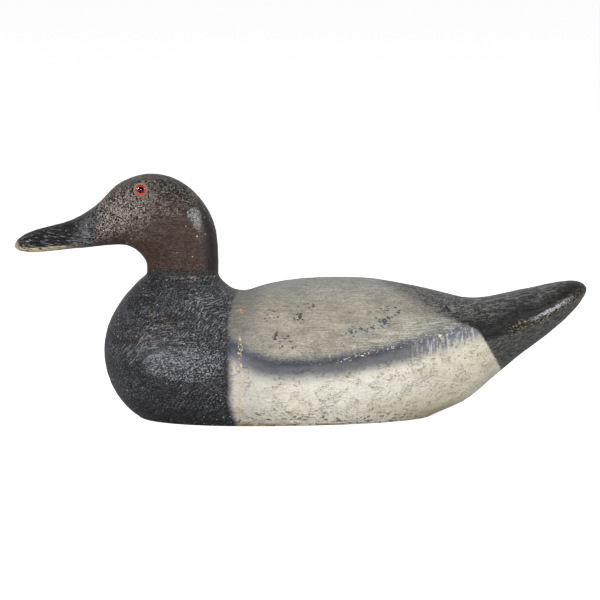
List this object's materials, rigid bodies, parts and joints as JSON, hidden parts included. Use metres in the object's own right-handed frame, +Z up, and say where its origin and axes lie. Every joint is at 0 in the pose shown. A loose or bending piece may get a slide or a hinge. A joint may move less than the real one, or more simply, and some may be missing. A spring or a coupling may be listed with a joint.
{
  "type": "duck decoy",
  "caption": "Hollow carved wooden diving-duck decoy with a turning head on a neck dowel, glass eyes, screwed bottom board, lead ballast strip and folding line tie.",
  "frame": {"origin": "on the ground plane, in the middle of the overall length and width", "axes": "+X from bill to tail, +Y towards the duck's right side, +Z up; the bill points along -X"},
  "size_m": [0.415, 0.1564, 0.1759],
  "materials": {
    "painted_body_wood": "weathered oil paint over white cedar, worn to bare wood in places",
    "painted_head_wood": "weathered oil paint over pine, with a stippled face and a black bill",
    "painted_board_wood": "thin weathered oil paint over pine",
    "dowel_wood": "bare birch",
    "sealing_compound": "dried sealing compound, dull",
    "screw_brass": "tarnished",
    "ballast_lead": "dull oxidised lead",
    "tie_wire": "dull galvanised wire with some rust",
    "zinc_steel": "dull zinc plate",
    "eye_glass": "clear, polished",
    "iris_enamel": "orange-red enamel behind glass",
    "pupil_enamel": "black enamel behind glass",
    "eye_putty": "dried putty, dull"
  },
  "bodies": {
    "hull": {"hollow_body": "painted_body_wood", "bottom_board": "painted_board_wood", "bottom_board_seal": "sealing_compound", "bottom_board_screws": "screw_brass", "ballast_weight": "ballast_lead", "ballast_screws": "screw_brass", "line_tie_staple": "tie_wire"},
    "turning_head": {"head": "painted_head_wood", "neck_dowel": "dowel_wood", "dowel_washer": "zinc_steel", "dowel_screw": "zinc_steel", "left_eye_glass": "eye_glass", "left_eye_iris": "iris_enamel", "left_eye_pupil": "pupil_enamel", "left_eye_wire": "tie_wire", "left_eye_putty": "eye_putty", "right_eye_glass": "eye_glass", "right_eye_iris": "iris_enamel", "right_eye_pupil": "pupil_enamel", "right_eye_wire": "tie_wire", "right_eye_putty": "eye_putty"},
    "tie_loop": {"line_tie_loop": "tie_wire"}
  },
  "joints": [
    {"name": "head_turn", "type": "hinge", "parent": "hull", "child": "turning_head", "pos_m": [-0.085, 0, 0.103], "axis": [0, 0, 1], "range_deg": [-35, 35]},
    {"name": "line_tie_swing", "type": "hinge", "parent": "hull", "child": "tie_loop", "pos_m": [-0.113, 0, 0.0036], "axis": [0, 1, 0], "range_deg": [0, 110]}
  ]
}
